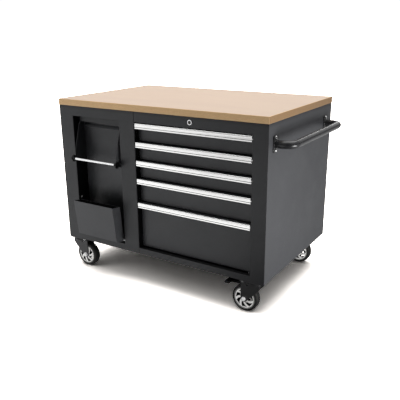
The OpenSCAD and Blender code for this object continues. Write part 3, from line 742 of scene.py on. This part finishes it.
# the camera sees the floor boosted, with its real shading and a painted shadow from ambient occlusion close under the
# bench
far = fm.range(dist.outputs["Value"], 1.4, 7.0, FLOOR_GAIN, 9.0)
near = fm.node("ShaderNodeAmbientOcclusion", samples=8)
near.inputs["Distance"].default_value = 0.25
far = fm.math("MULTIPLY", far, fm.range(near.outputs["AO"], 0.38, 0.66, UNDER[0], UNDER[1]))
fm.link(far, gain.inputs[7])
fm.link(gain.outputs[2], bright.inputs["Color"])
pick = fm.node("ShaderNodeMixShader")
fm.link(path.outputs["Is Camera Ray"], pick.inputs[0])
fm.link(dif.outputs[0], pick.inputs[1])
fm.link(bright.outputs[0], pick.inputs[2])
fm.link(pick.outputs[0], fm.t.nodes["Material Output"].inputs["Surface"])
floor.data.materials.append(fm.m)
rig.stage(floor)

world = bpy.data.worlds.new("studio")
scene.world = world
world.use_nodes = True
wt = world.node_tree
bg = wt.nodes["Background"]
wdir = wt.nodes.new("ShaderNodeTexCoord").outputs["Generated"]
sep = wt.nodes.new("ShaderNodeSeparateXYZ")
wt.links.new(wdir, sep.inputs[0])
rise = wt.nodes.new("ShaderNodeMapRange")
rise.interpolation_type = "SMOOTHSTEP"
rise.inputs["From Min"].default_value = 0.05
rise.inputs["From Max"].default_value = 0.65
rise.inputs["To Min"].default_value = 0.06
rise.inputs["To Max"].default_value = 1.0
wt.links.new(sep.outputs["Z"], rise.inputs["Value"])
w = madd(wt, lobe(wt, wdir, FRONT_LEFT, 0.2, 0.95), W_FL, W_BASE)
w = madd(wt, lobe(wt, wdir, RIGHT_REAR, 0.0, 0.95), W_RR, w)
w = madd(wt, w, rise.outputs["Result"], 0.0)
low = wt.nodes.new("ShaderNodeMapRange")
low.interpolation_type = "SMOOTHSTEP"
for key, val in (("From Min", 0.30), ("From Max", 0.55), ("To Min", W_RL), ("To Max", 0.0)):
    low.inputs[key].default_value = val
wt.links.new(sep.outputs["Z"], low.inputs["Value"])
wpath = wt.nodes.new("ShaderNodeLightPath")
sheen = madd(wt, lobe(wt, wdir, REAR_LEFT, 0.55, 0.97), low.outputs["Result"], 0.0)
w = madd(wt, sheen, wpath.outputs["Is Glossy Ray"], w)
wmix = wt.nodes.new("ShaderNodeMix")
wmix.data_type = "FLOAT"
wt.links.new(wpath.outputs["Is Camera Ray"], wmix.inputs[0])
wt.links.new(w, wmix.inputs[2])
wmix.inputs[3].default_value = 1.05
wt.links.new(wmix.outputs[0], bg.inputs["Strength"])
bg.inputs["Color"].default_value = (1.0, 1.0, 1.0, 1.0)


def area(name, loc, target, size, power, color=(1, 1, 1), size_y=None):
    d = bpy.data.lights.new(name, "AREA")
    d.energy = power
    d.color = color
    d.size = size
    if size_y:
        d.shape = "RECTANGLE"
        d.size_y = size_y
    ob = bpy.data.objects.new(name, d)
    scene.collection.objects.link(ob)
    ob.location = loc
    ob.rotation_mode = "QUATERNION"
    ob.rotation_quaternion = (Vector(target) - Vector(loc)).to_track_quat("-Z", "Y")
    return ob


area("top_soft", (-0.2, 0.5, 3.3), (0, 0.1, 0), 4.2, TOP_W, size_y=3.6)
side_light = area("right_soft", (1.42, -0.27, 0.38), (0.55, -0.18, 0.45), 0.5, RR_W, size_y=0.5)
skip = bpy.data.collections.new("not_lit_from_the_side")
skip.objects.link(floor)
side_light.light_linking.receiver_collection = skip
skip.collection_objects[0].light_linking.link_state = "EXCLUDE"
area("front_left_soft", (-2.6, -2.4, 1.8), (0, -0.2, 0.5), 2.0, FL_W, size_y=1.6)

# a low kicker that only the wheel rims and axles take
low_kick = area("wheel_kicker", (-0.3, -2.9, 0.55), (0.1, -0.25, 0.08), 0.9, KICK_W, size_y=0.4)
only = bpy.data.collections.new("lit_by_the_kicker")
for name, ob in NODES.items():
    if name.endswith(("_rim", "_axle")):
        only.objects.link(ob)
low_kick.light_linking.receiver_collection = only
# and one from the right for the outer faces of the right-hand wheels
right_kick = area("wheel_kicker_right", (1.7, -2.1, 0.4), (0.47, -0.28, 0.06), 0.6, 14.0, size_y=0.4)
right_only = bpy.data.collections.new("lit_by_the_right_kicker")
for name, ob in NODES.items():
    if name in ("caster_fr_rim", "caster_fr_axle", "caster_rr_rim", "caster_rr_axle"):
        right_only.objects.link(ob)
right_kick.light_linking.receiver_collection = right_only
# a small far light behind draws a thin streak along the handle tube
streak = area("handle_streak", (-0.05, 3.1, 1.85), (0.58, 0.0, 0.76), 0.22, STREAK_W, size_y=0.22)
tube = bpy.data.collections.new("lit_by_the_streak")
tube.objects.link(NODES["push_handle"])
streak.light_linking.receiver_collection = tube

cd = bpy.data.cameras.new("camera")
cam = bpy.data.objects.new("camera", cd)
scene.collection.objects.link(cam)
cd.lens = 48.603
cd.sensor_width = 36.0
cd.clip_end = 200.0
az, el, roll = math.radians(32.22673), math.radians(17.83485), math.radians(-0.382123)
back = Vector((math.sin(az) * math.cos(el), -math.cos(az) * math.cos(el), math.sin(el)))
ax = Vector((0, 0, 1)).cross(back).normalized()
ay = back.cross(ax)
ax2 = ax * math.cos(roll) + ay * math.sin(roll)
ay2 = ay * math.cos(roll) - ax * math.sin(roll)
pos = R(1999.2, -1880.4, 329.3)
cam.matrix_world = Matrix(((ax2.x, ay2.x, back.x, pos.x), (ax2.y, ay2.y, back.y, pos.y),
                           (ax2.z, ay2.z, back.z, pos.z), (0, 0, 0, 1)))
scene.camera = cam

scene.view_settings.view_transform = "Standard"
scene.view_settings.look = "None"

bpy.context.view_layer.update()
box_after = [list(v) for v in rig.bounds()]
with open("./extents.json", "w") as f:
    json.dump({"cad_box": box_before, "visual_box": box_after}, f, indent=1)
